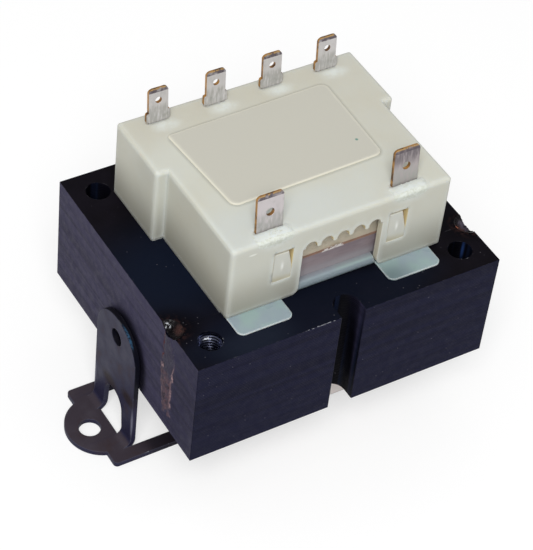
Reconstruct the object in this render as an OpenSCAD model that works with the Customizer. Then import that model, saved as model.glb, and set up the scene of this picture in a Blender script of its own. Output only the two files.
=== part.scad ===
// Small control transformer: a welded E-I core, a bobbin with two windings,
// a moulded terminal cover with blade terminals, and a lanced mounting strap.
// Millimetres, +Z up, front towards -Y, origin under the middle of the strap.

/* [Core] */
// Width of the centre leg of the E laminations
tongue_w = 25.4; // [22:0.1:30]
// Height of the lamination stack
stack_h = 28.6; // [20:0.1:40]
// Diameter of the holes punched near the corners of the core
core_hole_d = 5.6; // [4:0.1:6.4]
// Width of the notch in the front edge of the I laminations
notch_w = 6.1; // [4:0.1:8]
// Depth of the notch, to the end of its round bottom
notch_depth = 6; // [4.2:0.1:8]
// Radius of the groove along the seam between the E and I laminations
weld_groove_r = 1.6; // [1:0.1:2.2]
// How far the weld stands out past the side of the core
weld_proud = 0.25; // [0:0.05:0.6]
// Depth of the crater at the top of a weld
crater_depth = 1.4; // [0.5:0.1:3]
// Width of that crater along the side of the core
crater_w = 6; // [4:0.1:8]

/* [Coil] */
// Wall thickness of the bobbin's tube and flanges
bobbin_t = 1.5; // [1:0.1:2]
// Room between the edge of a flange and the side leg of the core
flange_side_gap = 2.4; // [2:0.1:3]
// Reach of the flanges below the core
flange_drop = 14; // [11:0.5:16]
// Thickness of the wound wire on the bobbin
winding_t = 6.8; // [5:0.1:7]
// Corner radius of the windings
winding_r = 4; // [2:0.5:6]
// Thickness of the tape around each winding
tape_t = 0.35; // [0.2:0.05:0.5]
// Height of the tape strip across the front flange
strip_h = 5.6; // [4:0.1:7]
// Width of that strip
strip_w = 23; // [18:0.5:24]

/* [Bobbin tabs] */
// Width of the two tabs that lie on the core
tab_w = 13.4; // [8:0.1:16]
// Distance between the centres of the two tabs
tab_spacing = 37.8; // [32:0.1:40]
// Reach of a tab in front of the front flange
tab_reach = 8.5; // [6:0.1:9.5]
// Thickness of a tab
tab_t = 0.35; // [0.3:0.05:1]
// Corner radius of a tab
tab_r = 1.6; // [0.5:0.1:3]
// Height of the round lip along the foot of the front flange
lip_h = 2.3; // [1.5:0.1:3]
// Reach of that lip in front of the front flange
lip_reach = 2.45; // [1.8:0.05:2.6]

/* [Cover] */
// Height of the cover above the core
cover_h = 19.8; // [17:0.1:24]
// Wall thickness of the cover
cover_wall = 1.6; // [1.2:0.1:2]
// Thickness of the top of the cover
cover_top_t = 1.8; // [1.2:0.1:2.4]
// Room between the flange edges and the side walls of the cover
cover_side_room = 2.7; // [2.2:0.1:3.5]
// Room between the front flange and the front wall of the cover
cover_front_room = 1.35; // [1:0.05:1.6]
// Room behind the rear flange for the terminal blades
cover_rear_room = 4; // [3:0.1:6]
// Depth of the wide rear part of the cover
rear_part_depth = 18.3; // [12:0.1:24]
// How far the rear part stands out on each side
rear_step = 2.7; // [1:0.1:4]
// Sideways shift of the cover, with its blades, on the core
cover_shift = 1.4; // [0:0.1:1.6]
// Radius of the outer edges of the cover
cover_edge_r = 0.7; // [0.5:0.1:2.5]

/* [Front wall] */
// Width of the opening in the front wall
opening_w = 20; // [16:0.1:22]
// Sideways shift of the opening from the middle of the cover
opening_shift = 0.4; // [0:0.1:0.8]
// Height of the tooth tips along the top of the opening
tooth_z = 12.9; // [11:0.1:13.5]
// Number of arches along the top of the opening
arch_n = 5; // [3:1:7]
// Width of the teeth between the arches
tooth_w = 1.1; // [0.6:0.1:1.6]
// Corner radius at the foot of the front panels
panel_r = 1.8; // [0.5:0.1:3]
// Distance between the centres of the two latch windows
latch_spacing = 28.8; // [27:0.1:34]
// Width of a latch window
latch_w = 4.6; // [3:0.1:5.5]
// Height of a latch window
latch_h = 8.5; // [5:0.1:9]
// Height of the lower edge of a latch window above the core
latch_z = 6.6; // [5:0.1:7]

/* [Blades] */
// Thickness of the blades
blade_t = 0.8; // [0.5:0.1:1]
// Lean of the blades towards the back, in degrees
blade_lean = 5; // [0:0.5:8]
// Number of rear blades
rear_n = 4; // [4:1:4]
// Distance between the centres of the rear blades
rear_pitch = 14.3; // [11:0.1:15]
// Width of a rear blade
rear_blade_w = 4.75; // [3:0.05:6]
// Height of a rear blade above the cover
rear_blade_h = 8.7; // [7:0.1:12]
// Room between the rear blades and the rear wall of the cover
rear_blade_room = 0.9; // [0.7:0.05:1.5]
// How far the shoulder of a rear blade stands out on each side
rear_shoulder = 0.55; // [0.2:0.05:1]
// Height of that shoulder
rear_shoulder_h = 2.5; // [1.2:0.1:4]
// Radius of the corners of that shoulder
shoulder_r = 0.45; // [0.2:0.05:0.5]
// Diameter of the hole in a rear blade
rear_eye_d = 1.6; // [1:0.1:1.8]
// Distance between the centres of the front blades
front_pitch = 33.7; // [28:0.1:36]
// Width of a front blade
front_blade_w = 6.35; // [4.8:0.05:7]
// Height of a front blade above the cover
front_blade_h = 9.4; // [7:0.1:12]
// Distance of the front blades behind the front face of the cover
front_blade_set = 2.95; // [2.5:0.05:4]
// Diameter of the hole in a front blade
front_eye_d = 2; // [1:0.1:2.4]
// Distance from the tip of a rear blade to its hole
rear_eye_drop = 3.1; // [2:0.1:3.5]
// Distance from the tip of a front blade to its hole
front_eye_drop = 4.7; // [3:0.1:5]
// Radius of the corners at the tip of a blade, and height of its bevel
tip_r = 1; // [0.4:0.1:1.4]
// Depth of the bevel on both faces at the tip of a blade
tip_bevel = 0.2; // [0.1:0.05:0.2]
// Height of the raised pad in front of a front blade
pad_h = 0.3; // [0.2:0.1:1]
// How far that pad is wider than its blade on each side
pad_margin = 1; // [0.4:0.1:1.5]
// Radius of the edges of that pad
pad_r = 0.4; // [0.2:0.05:0.5]

/* [Mounting strap] */
// Thickness of the strap's sheet steel
sheet_t = 1.2; // [1:0.1:2]
// Width of the strap
strap_w = 24.5; // [22:0.1:32]
// Clear height between the strap and the core
strap_drop = 18.3; // [17.5:0.1:26]
// Distance between the centres of the two foot holes
foot_spacing = 90.6; // [88:0.1:98]
// Diameter of the foot holes
foot_hole_d = 5.1; // [3.5:0.1:6]
// Reach of the straight foot past the face of its ear
foot_reach = 5.5; // [4:0.1:8]
// Reach of the round lobe past the straight foot
lobe_reach = 5.7; // [4.5:0.1:8]
// Radius of the round lobe
lobe_r = 8.7; // [7:0.1:10]
// Width of the upright ears
ear_w = 17.9; // [15:0.1:20]
// Height of the ears above the underside of the core
ear_rise = 14.9; // [12:0.1:18]
// Height of the ear holes above the underside of the core
ear_hole_z = 9.1; // [5:0.1:10]
// Diameter of the ear holes
ear_hole_d = 4.3; // [3:0.1:5]
// Inner bend radius at the foot of an ear
bend_r = 2; // [1:0.1:2.5]
// Width of the arch at the foot of an ear
arch_w = 8.8; // [8:0.1:10]
// Radius of the round top of that arch
arch_top_r = 4; // [2.5:0.1:4]
// Height of the arch above the strap
arch_h = 10.5; // [7:0.1:13]
// Reach of the arch into the foot past the face of the ear
arch_cut = 0.85; // [0.3:0.05:1]
// Corner radius of the foot's tongue between the legs of the arch
tongue_r = 0.5; // [0.2:0.1:1]
// Corner radius of the feet
foot_corner_r = 1; // [0.3:0.1:2]

/* [Clearances] */
// Gap between the centre leg and the bobbin
leg_gap = 0.3; // [0.1:0.05:0.4]
// Gap between the ends of the bobbin and the core
end_gap = 0.3; // [0.1:0.05:0.4]
// Gap between layers that lie on each other
lay_gap = 0.05; // [0.03:0.01:0.1]
// Gap around a blade in its slot
slot_gap = 0.1; // [0.05:0.05:0.2]
// Gap around a latch in its window
latch_gap = 0.2; // [0.1:0.05:0.3]
// Gap between the flange tops and the inside of the cover
top_gap = 1.6; // [1.2:0.1:2]
// Gap between the ears and the sides of the core
ear_gap = 0.3; // [0.05:0.05:0.4]

/* [Hidden] */
$fn = 48;

// Overlap that carries a cut clear through a face
cut = 1;

// Core: the scrapless E-I pattern is six leg widths wide and five deep
unit = tongue_w / 2;
core_w = 6 * unit;
core_y0 = -2.5 * unit;
core_y1 = 2.5 * unit;
seam_y = -1.5 * unit;
window_y1 = 1.5 * unit;
core_z = sheet_t + strap_drop;
core_top = core_z + stack_h;
hole_x = core_w / 2 - unit / 2;
hole_y = core_y1 - unit / 2;
crater_r = (crater_depth * crater_depth + crater_w * crater_w / 4) / (2 * crater_depth);

// Coil
tube_w = tongue_w + 2 * leg_gap;
tube_h = stack_h + 2 * leg_gap;
mid_z = core_z + stack_h / 2;
bobbin_y0 = seam_y + end_gap;
bobbin_y1 = window_y1 - end_gap;
flange_w = 4 * unit - 2 * flange_side_gap;
winding_w = tube_w + 2 * (bobbin_t + lay_gap + winding_t);
winding_h = tube_h + 2 * (bobbin_t + lay_gap + winding_t);

// Cover
cover_inner_top = core_top + cover_h - cover_top_t;
flange_top = cover_inner_top - top_gap;
front_w = flange_w + 2 * (cover_side_room + cover_wall);
rear_w = front_w + 2 * rear_step;
cover_y0 = bobbin_y0 - cover_front_room - cover_wall;
cover_y1 = bobbin_y1 + cover_rear_room + cover_wall;
rear_y0 = cover_y1 - rear_part_depth;
cover_top = core_top + cover_h;
opening_x = cover_shift + opening_shift;
arch_pitch = opening_w / arch_n;
arch_r = (arch_pitch - tooth_w) / 2;

// Blades
rear_blade_y = cover_y1 - cover_wall - rear_blade_room - blade_t / 2;
front_blade_y = cover_y0 + front_blade_set + blade_t / 2;
blade_root = cover_top_t + top_gap / 2;
shoulder_z = lay_gap + blade_t / 2 * sin(blade_lean);
pad_w = front_blade_w + 2 * pad_margin;

// Strap
ear_x = core_w / 2 + ear_gap;
ear_face = ear_x + sheet_t;
foot_x = ear_face + foot_reach;
lobe_x = foot_x + lobe_reach - lobe_r;
ear_top = core_z + ear_rise;
arch_top = sheet_t + arch_h;
window_len = ear_top - sheet_t;

// Rectangle with round corners, centred
module round_rect(w, h, r) {
    square([w - 2 * r, h], center = true);
    square([w, h - 2 * r], center = true);
    for (x = [-1, 1], y = [-1, 1])
        translate([x * (w / 2 - r), y * (h / 2 - r)])
            circle(r);
}

// Carries an XZ outline from one Y to another
module along_y(y0, y1) {
    translate([0, y1, 0])
        rotate([90, 0, 0])
            linear_extrude(y1 - y0)
                children();
}

// Carries a YZ outline from one X to another
module along_x(x0, x1) {
    translate([x0, 0, 0])
        rotate([90, 0, 90])
            linear_extrude(x1 - x0)
                children();
}

// Block with round upright and upper edges, standing on its base
module soft_block(x0, x1, y0, y1, h, r) {
    hull()
        for (x = [x0 + r, x1 - r], y = [y0 + r, y1 - r]) {
            translate([x, y, 0])
                cylinder(h = h - r, r = r, $fn = 32);
            translate([x, y, h - r])
                sphere(r, $fn = 32);
        }
}

// Plan of both kinds of lamination with their holes and weld grooves
module core_plan(y0, y1) {
    difference() {
        translate([-core_w / 2, y0])
            square([core_w, y1 - y0]);
        for (x = [-hole_x, hole_x], y = [-hole_y, hole_y])
            translate([x, y])
                circle(d = core_hole_d);
        for (x = [-core_w / 2, core_w / 2])
            translate([x, seam_y])
                circle(weld_groove_r);
    }
}

// Hollows that the welds leave at the top of the seam
module weld_craters() {
    for (x = [-core_w / 2, core_w / 2])
        translate([x, seam_y, core_top - crater_depth + crater_r])
            sphere(crater_r);
}

// Stack of E laminations with its three legs to the front
module e_core() {
    color([0.12, 0.11, 0.15])
        difference() {
            translate([0, 0, core_z])
                linear_extrude(stack_h)
                    difference() {
                        core_plan(seam_y, core_y1);
                        for (x = [-2 * unit, unit])
                            translate([x, seam_y - cut])
                                square([unit, window_y1 - seam_y + cut]);
                    }
            weld_craters();
        }
}

// Stack of I laminations that closes the front, with its round-ended notch
module i_core() {
    color([0.12, 0.11, 0.15])
        difference() {
            translate([0, 0, core_z])
                linear_extrude(stack_h)
                    difference() {
                        core_plan(core_y0, seam_y);
                        translate([-notch_w / 2, core_y0 - cut])
                            square([notch_w, notch_depth - notch_w / 2 + cut]);
                        translate([0, core_y0 + notch_depth - notch_w / 2])
                            circle(d = notch_w);
                    }
            weld_craters();
        }
}

// Weld bead that fills the groove along one seam, on the side given by its sign
module weld_bead(side) {
    color([0.35, 0.2, 0.15])
        translate([0, 0, core_z])
            linear_extrude(stack_h - crater_depth - lay_gap)
                intersection() {
                    translate([side * core_w / 2, seam_y])
                        circle(weld_groove_r - lay_gap);
                    square([core_w + 2 * weld_proud, core_w], center = true);
                }
}

// One flange of the bobbin, from y to y + bobbin_t
module flange(y) {
    along_y(y, y + bobbin_t)
        difference() {
            translate([-flange_w / 2, core_z - flange_drop])
                square([flange_w, flange_top - core_z + flange_drop]);
            translate([0, mid_z])
                square([tube_w, tube_h], center = true);
        }
}

// Tab that lies on the core in front of the flange
module flange_tab(side) {
    translate([side * tab_spacing / 2, 0, core_top + lay_gap])
        linear_extrude(tab_t) {
            translate([0, bobbin_y0 - tab_reach / 2])
                round_rect(tab_w, tab_reach, tab_r);
            translate([-tab_w / 2, bobbin_y0 - tab_reach + tab_r])
                square([tab_w, tab_reach - tab_r + bobbin_t]);
        }
}

// Moulded bobbin: tube, end flanges, divider, lip and tabs in one piece
module bobbin() {
    lip_w = opening_w - 2 * latch_gap;
    color([0.75, 0.8, 0.82]) {
        along_y(bobbin_y0, bobbin_y1)
            difference() {
                translate([0, mid_z])
                    square([tube_w + 2 * bobbin_t, tube_h + 2 * bobbin_t], center = true);
                translate([0, mid_z])
                    square([tube_w, tube_h], center = true);
            }
        flange(bobbin_y0);
        flange(-bobbin_t / 2);
        flange(bobbin_y1 - bobbin_t);
        for (side = [-1, 1])
            flange_tab(side);
        along_x(opening_x - lip_w / 2, opening_x + lip_w / 2) {
            translate([bobbin_y0 - lip_reach + lip_h / 2, core_top + lay_gap + lip_h / 2])
                circle(d = lip_h);
            translate([bobbin_y0 - lip_reach + lip_h / 2, core_top + lay_gap])
                square([lip_reach - lip_h / 2 + bobbin_t / 2, lip_h]);
        }
    }
}

// Ring of wire around the tube between two flanges
module winding(y0, y1) {
    color([0.72, 0.4, 0.22])
        along_y(y0 + lay_gap, y1 - lay_gap)
            translate([0, mid_z])
                difference() {
                    round_rect(winding_w, winding_h, winding_r);
                    square([tube_w + 2 * (bobbin_t + lay_gap),
                            tube_h + 2 * (bobbin_t + lay_gap)], center = true);
                }
}

// Band of tape around a winding
module tape_band(y0, y1) {
    color([0.55, 0.47, 0.5])
        along_y(y0 + lay_gap, y1 - lay_gap)
            translate([0, mid_z])
                difference() {
                    round_rect(winding_w + 2 * (lay_gap + tape_t),
                               winding_h + 2 * (lay_gap + tape_t),
                               winding_r + lay_gap + tape_t);
                    round_rect(winding_w + 2 * lay_gap, winding_h + 2 * lay_gap,
                               winding_r + lay_gap);
                }
}

module primary_winding() {
    winding(bobbin_t / 2, bobbin_y1 - bobbin_t);
}

module secondary_winding() {
    winding(bobbin_y0 + bobbin_t, -bobbin_t / 2);
}

module primary_tape() {
    tape_band(bobbin_t / 2, bobbin_y1 - bobbin_t);
}

module secondary_tape() {
    tape_band(bobbin_y0 + bobbin_t, -bobbin_t / 2);
}

// Strip of tape across the front flange, behind the opening
module front_strip() {
    color([0.55, 0.47, 0.5])
        translate([opening_x - strip_w / 2, bobbin_y0 - lay_gap - tape_t,
                   core_top + lip_h + 2 * lay_gap])
            cube([strip_w, tape_t, strip_h]);
}

// Outline of the front opening: straight sides and a row of arches between teeth
module opening_outline() {
    difference() {
        union() {
            translate([-opening_w / 2, -cut])
                square([opening_w, tooth_z + tooth_w / 2 + cut]);
            for (i = [0 : arch_n - 1])
                translate([(i + 0.5) * arch_pitch - opening_w / 2, tooth_z + tooth_w / 2])
                    circle(arch_r);
        }
        for (i = [1 : arch_n - 1])
            translate([i * arch_pitch - opening_w / 2, tooth_z + tooth_w / 2])
                circle(d = tooth_w);
    }
}

// Round-off at the inner foot of a front panel, on the side given by its sign
module panel_corner(side) {
    translate([side * opening_w / 2, tab_t + 2 * lay_gap])
        difference() {
            translate([side * panel_r / 2, panel_r / 2 - cut / 2])
                square([panel_r, panel_r + cut], center = true);
            translate([side * panel_r, panel_r])
                circle(panel_r);
        }
}

// Moulded cover with its stepped plan, front opening, latch windows and blade slots
module terminal_cover() {
    color([0.82, 0.81, 0.74])
        translate([cover_shift, 0, core_top])
            difference() {
                union() {
                    soft_block(-front_w / 2, front_w / 2, cover_y0, cover_y1 - cover_wall,
                               cover_h, cover_edge_r);
                    soft_block(-rear_w / 2, rear_w / 2, rear_y0, cover_y1,
                               cover_h, cover_edge_r);
                    for (side = [-1, 1])
                        translate([side * front_pitch / 2, 0, cover_h - cover_edge_r])
                            soft_block(-pad_w / 2, pad_w / 2, cover_y0 + pad_r,
                                       front_blade_y - blade_t / 2 - slot_gap,
                                       cover_edge_r + pad_h, pad_r);
                }
                translate([-front_w / 2 + cover_wall, cover_y0 + cover_wall, -cut])
                    cube([front_w - 2 * cover_wall, cover_y1 - cover_y0 - 2 * cover_wall,
                          cover_h - cover_top_t + cut]);
                translate([-rear_w / 2 + cover_wall, rear_y0 + cover_wall, -cut])
                    cube([rear_w - 2 * cover_wall, rear_part_depth - 2 * cover_wall,
                          cover_h - cover_top_t + cut]);
                along_y(cover_y0 - cut, cover_y0 + cover_wall + cut) {
                    translate([opening_shift, 0]) {
                        opening_outline();
                        for (side = [-1, 1])
                            panel_corner(side);
                    }
                    translate([-front_w / 2 - cut, -cut])
                        square([front_w + 2 * cut, tab_t + 2 * lay_gap + cut]);
                    for (side = [-1, 1])
                        translate([side * latch_spacing / 2 - latch_w / 2, latch_z])
                            square([latch_w, latch_h]);
                }
                for (i = [0 : rear_n - 1])
                    blade_slot((i - (rear_n - 1) / 2) * rear_pitch, rear_blade_y, rear_blade_w);
                for (side = [-1, 1])
                    blade_slot(side * front_pitch / 2, front_blade_y, front_blade_w);
            }
}

// Slot through the top of the cover for a blade of width w, with the same lean
module blade_slot(x, y, w) {
    translate([x, y, cover_h])
        rotate([-blade_lean, 0, 0])
            translate([-w / 2 - slot_gap, -blade_t / 2 - slot_gap, -cover_top_t - cut])
                cube([w + 2 * slot_gap, blade_t + 2 * slot_gap, cover_top_t + pad_h + 2 * cut]);
}

// Snap of the bobbin that looks out of one latch window, ramped towards its foot
module latch(side) {
    w = latch_w - 2 * latch_gap;
    face_y = cover_y0 + latch_gap;
    color([0.82, 0.81, 0.74])
        translate([cover_shift + side * latch_spacing / 2, 0, core_top + latch_z + latch_gap])
            along_x(-w / 2, w / 2)
                polygon([[bobbin_y0, 0],
                         [face_y, 0],
                         [face_y, latch_h / 3],
                         [face_y + cover_wall / 2, latch_h - 2 * latch_gap],
                         [bobbin_y0, latch_h - 2 * latch_gap]]);
}

// Flat outline of a blade, from its root to its round-cornered tip, with shoulders as children
module blade_outline(w, h, eye_d, eye_drop) {
    difference() {
        union() {
            translate([-w / 2, -blade_root])
                square([w, h - tip_r + blade_root]);
            translate([tip_r - w / 2, 0])
                square([w - 2 * tip_r, h]);
            for (side = [-1, 1])
                translate([side * (w / 2 - tip_r), h - tip_r])
                    circle(tip_r);
            children();
        }
        translate([0, h - eye_drop])
            circle(d = eye_d);
    }
}

// Leaning blade of the given outline and height, with both faces bevelled towards its tip
module blade(h) {
    reach = front_blade_w + rear_blade_w;
    rotate([-blade_lean, 0, 0])
        intersection() {
            along_y(-blade_t / 2, blade_t / 2)
                children();
            along_x(-reach, reach)
                polygon([[-blade_t / 2, -blade_root], [blade_t / 2, -blade_root],
                         [blade_t / 2, h - tip_r], [blade_t / 2 - tip_bevel, h],
                         [tip_bevel - blade_t / 2, h], [-blade_t / 2, h - tip_r]]);
        }
}

// Rear blade with its shoulders on the cover, counted from the left
module rear_blade(i) {
    color([0.72, 0.68, 0.68])
        translate([cover_shift + (i - (rear_n - 1) / 2) * rear_pitch, rear_blade_y, cover_top])
            blade(rear_blade_h)
                blade_outline(rear_blade_w, rear_blade_h, rear_eye_d, rear_eye_drop)
                    translate([0, shoulder_z + rear_shoulder_h / 2])
                        round_rect(rear_blade_w + 2 * rear_shoulder, rear_shoulder_h, shoulder_r);
}

// Plain front blade, on the side given by its sign
module front_blade(side) {
    color([0.72, 0.68, 0.68])
        translate([cover_shift + side * front_pitch / 2, front_blade_y, cover_top])
            blade(front_blade_h)
                blade_outline(front_blade_w, front_blade_h, front_eye_d, front_eye_drop);
}

// Outline of one foot to the right: straight end, round lobe
module foot_plan() {
    translate([0, -strap_w / 2])
        square([foot_x - foot_corner_r, strap_w]);
    translate([foot_x / 2, 0])
        round_rect(foot_x, strap_w, foot_corner_r);
    translate([lobe_x, 0])
        circle(lobe_r);
}

// Tongue of the foot that stays flat between the legs of the right ear
module tongue_plan() {
    len = bend_r - arch_cut + foot_reach / 2;
    translate([ear_face + arch_cut + len / 2, 0])
        round_rect(len, arch_w, tongue_r);
}

// What the right ear leaves open in the strap
module lanced_plan() {
    difference() {
        union() {
            translate([ear_face + bend_r - window_len + ear_w / 2, -ear_w / 2])
                square([window_len - ear_w / 2, ear_w]);
            translate([ear_face + bend_r - window_len + ear_w / 2, 0])
                circle(d = ear_w);
        }
        tongue_plan();
    }
}

// Face of an ear above its bend: round top, hole and arch
module ear_outline() {
    difference() {
        union() {
            translate([-ear_w / 2, sheet_t + bend_r])
                square([ear_w, ear_top - ear_w / 2 - sheet_t - bend_r]);
            translate([0, ear_top - ear_w / 2])
                circle(d = ear_w);
        }
        translate([0, core_z + ear_hole_z])
            circle(d = ear_hole_d);
        polygon([[-arch_w / 2, sheet_t], [arch_w / 2, sheet_t], [arch_w / 2, sheet_t + bend_r],
                 [arch_top_r, arch_top - arch_top_r], [-arch_top_r, arch_top - arch_top_r],
                 [-arch_w / 2, sheet_t + bend_r]]);
        translate([0, arch_top - arch_top_r])
            circle(arch_top_r);
    }
}

// Right half of the strap: foot, rails, bends and upright ear
module strap_half() {
    linear_extrude(sheet_t)
        difference() {
            foot_plan();
            lanced_plan();
            translate([foot_spacing / 2, 0])
                circle(d = foot_hole_d);
        }
    along_x(ear_x, ear_face)
        ear_outline();
    for (y = [-ear_w / 2, arch_w / 2])
        along_y(y, y + (ear_w - arch_w) / 2)
            translate([ear_face + bend_r, sheet_t + bend_r])
                intersection() {
                    difference() {
                        circle(bend_r + sheet_t);
                        circle(bend_r);
                    }
                    translate([-bend_r - sheet_t, -bend_r - sheet_t])
                        square(bend_r + sheet_t);
                }
}

// Steel strap under the core with a foot and a lanced ear at each end
module mounting_strap() {
    color([0.16, 0.13, 0.13]) {
        strap_half();
        mirror([1, 0, 0])
            strap_half();
    }
}

e_core();
i_core();
weld_bead(-1);  // left_weld
weld_bead(1);  // right_weld
bobbin();
primary_winding();
secondary_winding();
primary_tape();
secondary_tape();
front_strip();
terminal_cover();
latch(-1);  // left_latch
latch(1);  // right_latch
rear_blade(0);  // rear_blade_1
rear_blade(1);  // rear_blade_2
rear_blade(2);  // rear_blade_3
rear_blade(3);  // rear_blade_4
front_blade(-1);  // front_blade_left
front_blade(1);  // front_blade_right
mounting_strap();
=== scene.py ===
"""Looks of a strap mounted control transformer.

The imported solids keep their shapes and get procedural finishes. Small added pieces are surfaces worked
out on numpy grids: the bare label, the thread in one core hole, the weld beads and the slag on top of them,
the faces of the latches, the rough plastic in front of the two wide blades and the torn edge of the tape.
"""

import logging
import math
from dataclasses import dataclass
from enum import Enum
from functools import reduce
from typing import Callable, Sequence, Union

import bpy
import numpy as np
from mathutils import Matrix, Vector


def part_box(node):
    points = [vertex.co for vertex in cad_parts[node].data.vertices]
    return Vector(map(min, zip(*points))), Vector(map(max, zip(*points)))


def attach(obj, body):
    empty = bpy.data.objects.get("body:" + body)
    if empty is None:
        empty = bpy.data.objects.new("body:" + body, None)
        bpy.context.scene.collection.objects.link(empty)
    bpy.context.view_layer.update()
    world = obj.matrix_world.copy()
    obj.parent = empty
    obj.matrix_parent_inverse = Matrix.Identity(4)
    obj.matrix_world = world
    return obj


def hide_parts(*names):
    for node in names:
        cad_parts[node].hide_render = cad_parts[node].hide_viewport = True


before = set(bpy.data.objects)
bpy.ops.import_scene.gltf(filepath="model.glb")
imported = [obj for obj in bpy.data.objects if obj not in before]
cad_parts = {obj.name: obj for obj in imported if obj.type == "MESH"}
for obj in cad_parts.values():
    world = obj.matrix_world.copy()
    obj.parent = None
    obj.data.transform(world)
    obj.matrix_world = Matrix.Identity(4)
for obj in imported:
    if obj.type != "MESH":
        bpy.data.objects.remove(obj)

LOG = logging.getLogger("transformer")
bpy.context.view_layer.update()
MM = 0.001
SEED = 7
MOULDED_PAD_H = 0.3 * MM
COVER_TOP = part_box("terminal_cover")[1].z - MOULDED_PAD_H

Triple = tuple[float, float, float]
Colour = Triple
Value = Union[float, Sequence[float], "Field"]
Key = Union[int, str]
Material = bpy.types.Material
Piece = bpy.types.Object


def tone(red: int, green: int, blue: int) -> Colour:
    """Turn an eight-bit display colour into linear light.

    Args:
        red: red part, 0 to 255.
        green: green part, 0 to 255.
        blue: blue part, 0 to 255.

    Returns:
        The linear colour.
    """
    shares = np.array([red, green, blue]) / 255
    linear = np.where(shares <= 0.04045, shares / 12.92, ((shares + 0.055) / 1.055) ** 2.4)
    return tuple(float(part) for part in linear)


class Slot(str, Enum):
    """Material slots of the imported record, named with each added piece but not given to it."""

    CORE = "core_steel"
    WELD = "weld_steel"
    TAPE = "coil_tape"
    COVER = "cover_plastic"


class Axis(Enum):
    """Axes of the shared frame, as places in a vector."""

    X = 0
    Y = 1
    Z = 2


class Side(Enum):
    """Sides of the part, by the sign of their x."""

    LEFT = -1
    RIGHT = 1

    @property
    def word(self) -> str:
        """Return the side's name as the nodes have it."""
        return self.name.lower()


@dataclass(frozen=True)
class Patch:
    """Soft ellipsoid patches: middles in metres, half sizes in millimetres, and the share that is full."""

    points: Sequence[Sequence[float]]
    reach: Triple
    core: float = 0.3


@dataclass(frozen=True)
class LabelShape:
    """Bare label: a rectangle with round corners, turned a little, that widens to the rear."""

    x: float = -0.14 * MM
    y: float = 3.52 * MM
    width: float = 39.4 * MM
    depth: float = 25.55 * MM
    thick: float = 0.35 * MM
    corner_r: float = 1.9 * MM
    sharp_r: float = 0.7 * MM
    edge_r: float = 0.3 * MM
    sunk: float = 0.05 * MM
    turn: float = math.radians(1.35)
    flare: float = 0.034


# Shader building


def operator(operation: str) -> Callable[..., "Field"]:
    """Make an operator between fields from the name of a Math node's operation."""
    return lambda first, *others: first.nodes.math(operation, first, *others)


class Field:
    """A number or colour that varies over a surface: the output of a node, with arithmetic.

    The upright bar gives the larger of two numbers.
    """

    def __init__(self, nodes: "NodeTree", socket: bpy.types.NodeSocket) -> None:
        """Wrap an output socket of a tree of nodes."""
        self.nodes = nodes
        self.socket = socket

    __mul__ = operator("MULTIPLY")
    __truediv__ = operator("DIVIDE")
    __add__ = operator("ADD")
    __sub__ = operator("SUBTRACT")
    __or__ = operator("MAXIMUM")
    __abs__ = operator("ABSOLUTE")

    def __rsub__(self, other: float) -> "Field":
        """Return a constant less this number."""
        return self.nodes.math("SUBTRACT", other, self)

    def joined(self, other: "Field") -> "Field":
        """Return the sum of two shares, held between 0 and 1."""
        return self.nodes.math("ADD", self, other, use_clamp=True)

    def zigzag(self) -> "Field":
        """Return the distance to the nearest whole number."""
        return self.nodes.math("PINGPONG", self, 0.5)

    def rise(self, low: float, high: float, start: float = 0.0, end: float = 1.0) -> "Field":
        """Step smoothly from start to end as this number goes from low to high."""
        inputs = dict(enumerate((self, low, high, start, end)))
        return self.nodes.node("MapRange", inputs, interpolation_type="SMOOTHSTEP")

    def blend(self, first: Value, second: Value) -> "Field":
        """Mix two colours.

        Args:
            first: colour where this share is 0.
            second: colour where it is 1.

        Returns:
            The mixed colour.
        """
        share, first_colour, second_colour, mixed = 0, 6, 7, 2
        inputs = {share: self, first_colour: first, second_colour: second}
        return self.nodes.node("Mix", inputs, mixed, data_type="RGBA")


def coats(base: Value, *layers: tuple[Field, Value]) -> Value:
    """Lay colours over a base in order.

    Args:
        base: colour below.
        layers: share and colour of each coat.

    Returns:
        The colour on top.
    """
    for share, colour in layers:
        base = share.blend(base, colour)
    return base


class NodeTree:
    """Shader nodes under construction."""

    def __init__(self, tree: bpy.types.NodeTree) -> None:
        """Clear a tree for new nodes."""
        self.tree = tree
        self.tree.nodes.clear()

    def feed(self, socket: bpy.types.NodeSocket, value: Value) -> None:
        """Link a socket to a field, or set its constant.

        Args:
            socket: input to feed.
            value: field, number, vector or colour.
        """
        if isinstance(value, Field):
            self.tree.links.new(value.socket, socket)
        elif socket.type == "RGBA":
            socket.default_value = (*value, 1.0)
        else:
            socket.default_value = value

    def add(self, kind: str, inputs: dict[Key, Value], **settings: object) -> bpy.types.Node:
        """Add a node.

        Args:
            kind: its type, without the word that all types start with.
            inputs: what feeds its inputs, by their names or places.
            settings: its own settings.

        Returns:
            The new node.
        """
        node = self.tree.nodes.new(f"ShaderNode{kind}")
        for name, setting in settings.items():
            setattr(node, name, setting)
        for key, value in inputs.items():
            self.feed(node.inputs[key], value)
        return node

    def node(self, kind: str, inputs: dict[Key, Value], output: Key = 0, **settings: object) -> Field:
        """Add a node and return one of its outputs, by its name or place."""
        return Field(self, self.add(kind, inputs, **settings).outputs[output])

    def math(self, operation: str, *numbers: Value, **settings: object) -> Field:
        """Work out a number from one or two others."""
        return self.node("Math", dict(enumerate(numbers)), operation=operation, **settings)


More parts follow.
